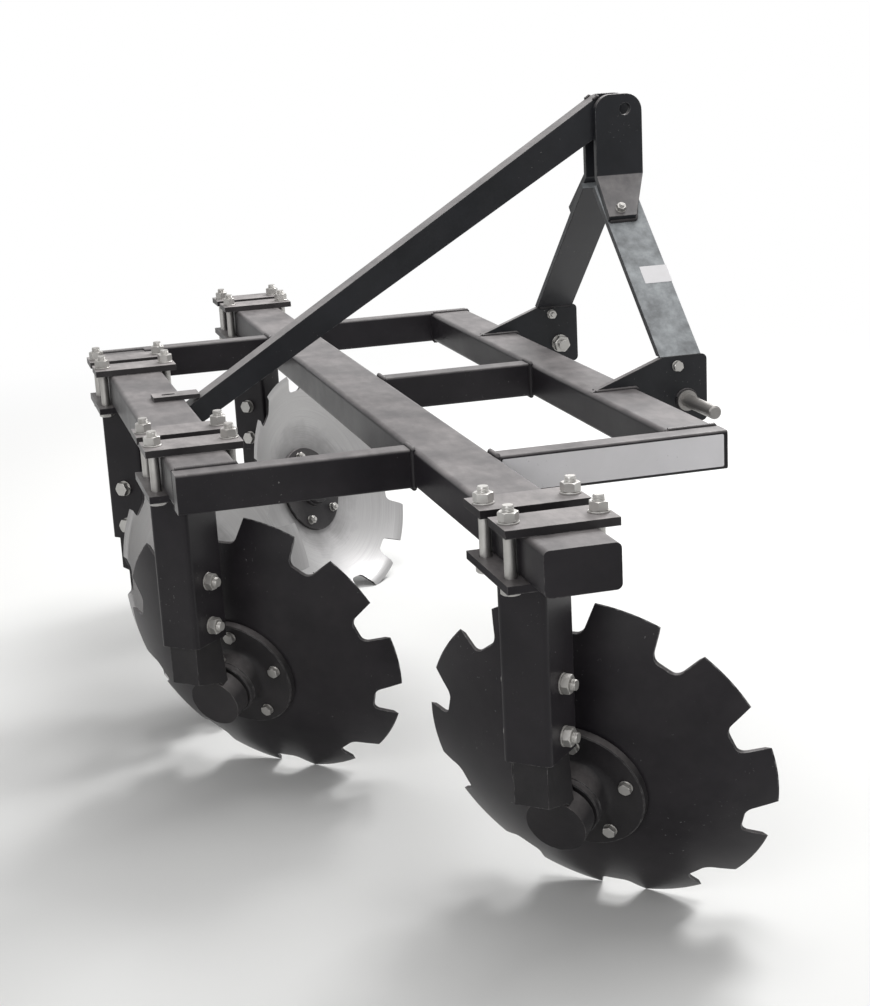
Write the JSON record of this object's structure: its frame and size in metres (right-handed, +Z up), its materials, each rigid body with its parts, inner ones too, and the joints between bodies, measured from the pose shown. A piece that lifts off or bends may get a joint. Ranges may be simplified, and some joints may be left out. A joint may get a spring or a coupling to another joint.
{
  "type": "disc ridger",
  "caption": "Tractor-mounted disc ridger: a flat tube frame with a three-point mast, standards clamped under its beams, and angled notched discs that turn freely.",
  "frame": {"origin": "on the ground plane, at the middle of the machine's length and width", "axes": "+X is the way of travel, +Y the machine's left, along the main beam, +Z up"},
  "size_m": [1.2268, 2.98, 1.398],
  "materials": {
    "frame": "satin black paint, dusty",
    "mast": "satin black paint",
    "standard": "satin black paint",
    "bracket": "satin black paint over a casting",
    "hub": "satin black paint",
    "blade": "black paint, worn to steel on the hollow side",
    "fasteners": "zinc plated",
    "pin": "bare steel, lightly oxidised"
  },
  "bodies": {
    "frame": {"main_beam": "frame", "rear_beam": "frame", "front_beam": "frame", "side_bar_front_right": "frame", "side_bar_front_left": "frame", "side_bar_rear_right": "frame", "side_bar_rear_left": "frame", "centre_bar": "frame", "stay": "mast", "stay_foot_plate": "frame", "mast_head_right": "mast", "mast_leg_right": "mast", "hitch_plate_right": "mast", "hitch_pin_right": "pin", "mast_head_left": "mast", "mast_leg_left": "mast", "hitch_plate_left": "mast", "hitch_pin_left": "pin", "standard_outer_right": "standard", "hub_bracket_outer_right": "bracket", "clamp_plate_outer_right": "standard", "bolts_outer_right": "fasteners", "standard_outer_left": "standard", "hub_bracket_outer_left": "bracket", "clamp_plate_outer_left": "standard", "bolts_outer_left": "fasteners", "standard_inner_right": "standard", "hub_bracket_inner_right": "bracket", "clamp_plate_inner_right": "standard", "bolts_inner_right": "fasteners", "standard_inner_left": "standard", "hub_bracket_inner_left": "bracket", "clamp_plate_inner_left": "standard", "bolts_inner_left": "fasteners"},
    "disc_outer_right": {"blade_outer_right": "blade", "hub_outer_right": "hub"},
    "disc_outer_left": {"blade_outer_left": "blade", "hub_outer_left": "hub"},
    "disc_inner_right": {"blade_inner_right": "blade", "hub_inner_right": "hub"},
    "disc_inner_left": {"blade_inner_left": "blade", "hub_inner_left": "hub"}
  },
  "joints": [
    {"name": "disc_outer_right_spin", "type": "hinge", "parent": "frame", "child": "disc_outer_right", "pos_m": [0.02767, -1.15681, 0.28262], "axis": [0.6486, 0.6956, 0.309], "continuous": true},
    {"name": "disc_outer_left_spin", "type": "hinge", "parent": "frame", "child": "disc_outer_left", "pos_m": [0.02767, 1.15681, 0.28262], "axis": [0.6486, -0.6956, 0.309], "continuous": true},
    {"name": "disc_inner_right_spin", "type": "hinge", "parent": "frame", "child": "disc_inner_right", "pos_m": [-0.42533, -0.32081, 0.28262], "axis": [0.6486, 0.6956, 0.309], "continuous": true},
    {"name": "disc_inner_left_spin", "type": "hinge", "parent": "frame", "child": "disc_inner_left", "pos_m": [-0.42533, 0.32081, 0.28262], "axis": [0.6486, -0.6956, 0.309], "continuous": true}
  ]
}
